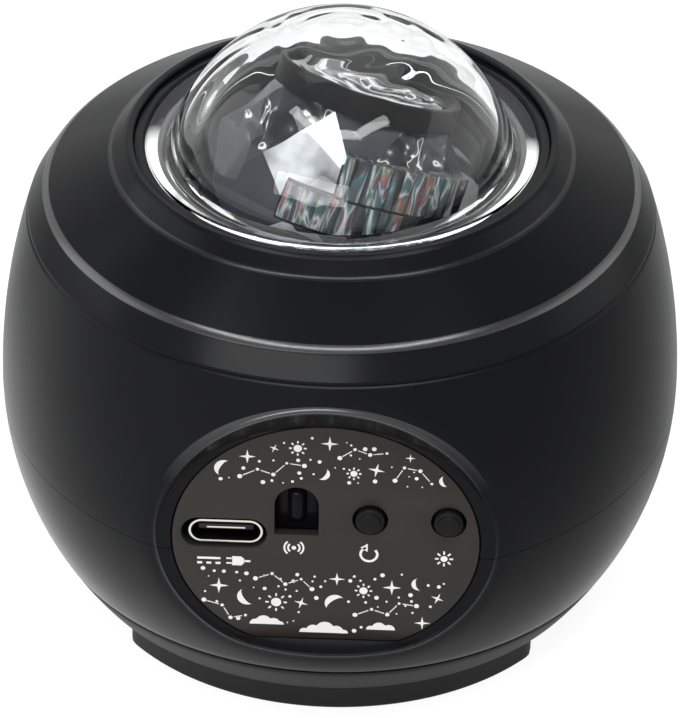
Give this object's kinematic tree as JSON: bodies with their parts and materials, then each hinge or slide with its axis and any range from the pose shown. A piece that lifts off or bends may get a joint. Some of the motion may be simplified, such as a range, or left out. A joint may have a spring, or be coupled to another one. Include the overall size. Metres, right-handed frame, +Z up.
{
  "type": "star projector",
  "caption": "Ball-shaped night sky projector on a low foot: clear rippled dome over a motor-turned faceted crystal, and a recessed panel with power socket, receiver and press buttons.",
  "frame": {"origin": "on the table, under the middle of the ball, at the underside of the rubber pads", "axes": "+Z up along the ball's and dome's axis, -Y towards the front panel, +X to the right seen from the front"},
  "size_m": [0.083, 0.0806, 0.0787],
  "materials": {
    "black_satin": "satin black moulded shell",
    "foot_black": "fine matt black moulding",
    "pad_rubber": "matt rubber",
    "panel_bronze": "dark bronze-black with pale print",
    "dome_clear": "clear polished moulding with ripples",
    "crystal_clear": "clear faceted moulding",
    "lens_clear": "clear polished moulding",
    "inner_black": "plain matt black",
    "gear_white": "natural acetal",
    "gear_black": "black acetal",
    "screw_steel": "zinc plated",
    "sink_aluminium": "bare",
    "motor_steel": "nickel plated",
    "gearbox_brass": "satin",
    "contact_brass": "bright",
    "board_green": "green lacquer on laminate",
    "board_white": "white lacquer on aluminium",
    "led_yellow": "phosphor yellow",
    "chip_black": "plain matt",
    "can_aluminium": "drawn can",
    "receiver_dark": "dark clear epoxy",
    "button_black": "fine matt",
    "plug_white": "natural nylon",
    "lead_red": "soft sheath",
    "lead_white": "soft sheath"
  },
  "bodies": {
    "housing": {"upper_shell": "black_satin", "lower_shell": "black_satin", "foot_base": "foot_black", "foot_pads": "pad_rubber", "base_screws": "screw_steel", "shell_screws": "screw_steel", "control_panel": "panel_bronze", "outer_dome": "dome_clear", "dome_retainer": "black_satin", "optics_deck": "inner_black", "deck_screws": "screw_steel", "led_heatsink": "sink_aluminium", "heatsink_screws": "screw_steel", "led_board": "board_white", "led_chips": "led_yellow", "led_lens": "lens_clear", "rotor_clip": "screw_steel", "motor_can": "motor_steel", "motor_gearbox": "gearbox_brass", "motor_screws": "screw_steel", "motor_terminals": "contact_brass", "main_board": "board_green", "board_screws": "screw_steel", "control_chips": "chip_black", "board_capacitors": "can_aluminium", "usb_shell": "screw_steel", "usb_tongue": "chip_black", "ir_receiver": "receiver_dark", "ir_pins": "screw_steel", "motor_switch": "chip_black", "mode_switch": "chip_black", "motor_connector": "plug_white", "led_connector": "plug_white", "motor_leads": "lead_red", "led_leads": "lead_white"},
    "rotor": {"rotor_gear": "gear_black", "crystal_drum": "crystal_clear", "prism_tiers": "crystal_clear", "drum_cap": "inner_black", "ripple_disc": "crystal_clear"},
    "pinion": {"motor_shaft": "screw_steel", "motor_pinion": "gear_white"},
    "motor_button": {"motor_button": "button_black"},
    "mode_button": {"mode_button": "button_black"}
  },
  "joints": [
    {"name": "rotor_spin", "type": "hinge", "parent": "housing", "child": "rotor", "pos_m": [0, 0, 0.052], "axis": [0, 0, 1], "continuous": true},
    {"name": "pinion_spin", "type": "hinge", "parent": "housing", "child": "pinion", "pos_m": [0, 0.024, 0.052], "axis": [0, 0, 1], "continuous": true},
    {"name": "motor_button_press", "type": "slide", "parent": "housing", "child": "motor_button", "axis": [0, 1, 0], "range_m": [0, 0.0003], "stiffness_N_per_m": 3000},
    {"name": "mode_button_press", "type": "slide", "parent": "housing", "child": "mode_button", "axis": [0, 1, 0], "range_m": [0, 0.0003], "stiffness_N_per_m": 3000}
  ],
  "couplings": [
    {"joint": "pinion_spin", "follows": "rotor_spin", "ratio": -5}
  ]
}
